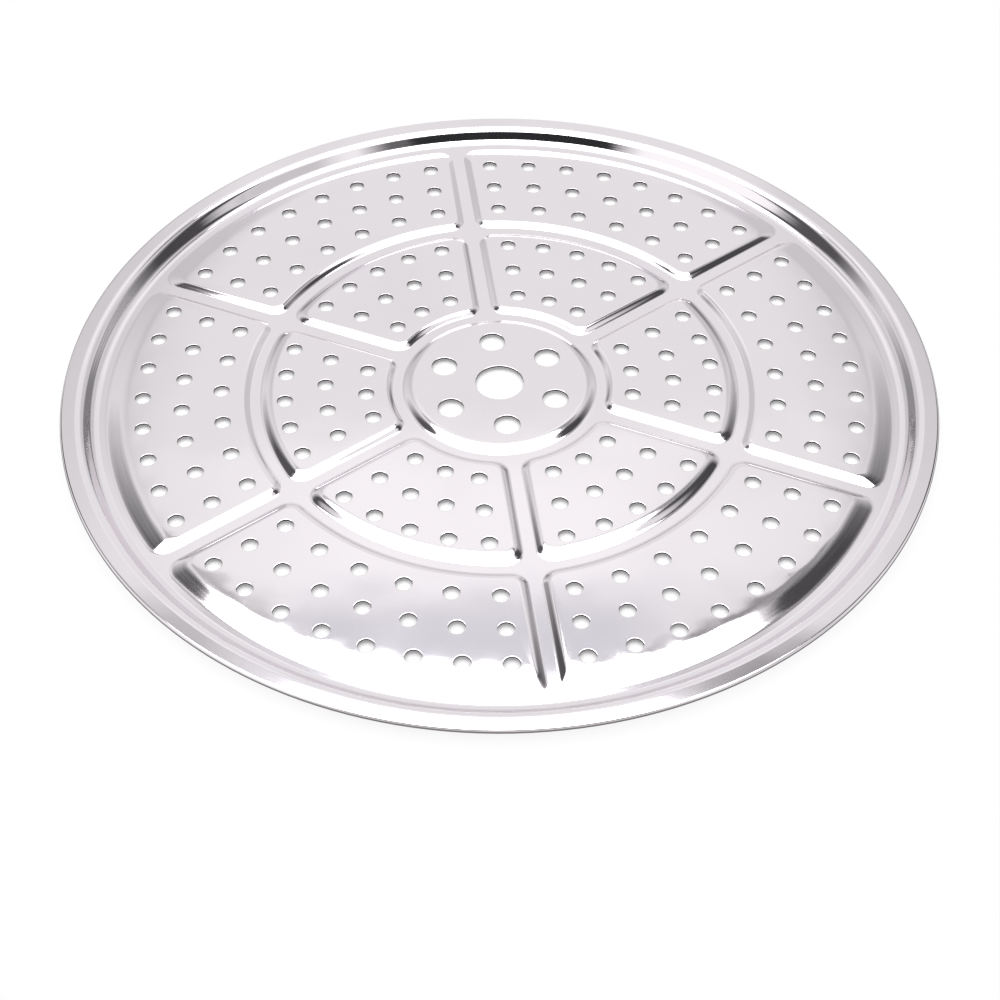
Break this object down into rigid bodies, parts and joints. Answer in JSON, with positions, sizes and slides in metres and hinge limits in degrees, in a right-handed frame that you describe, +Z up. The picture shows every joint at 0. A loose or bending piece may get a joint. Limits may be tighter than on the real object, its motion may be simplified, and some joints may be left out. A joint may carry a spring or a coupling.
{
  "type": "steamer plate",
  "caption": "Round pressed-steel steamer plate with raised perforated panels between sunken spoke and ring channels, a shallow wall and a flat rim with a rolled edge.",
  "frame": {"origin": "centre of the underside of the channel floor, on which the plate stands", "axes": "+Z up, the way the panel tops face; +X along the middle of a spoke channel"},
  "size_m": [0.24, 0.24, 0.0042],
  "materials": {
    "stainless_steel": "bright rolled stainless sheet with soft reflections"
  },
  "bodies": {
    "root": {"steamer_plate": "stainless_steel"}
  },
  "joints": []
}
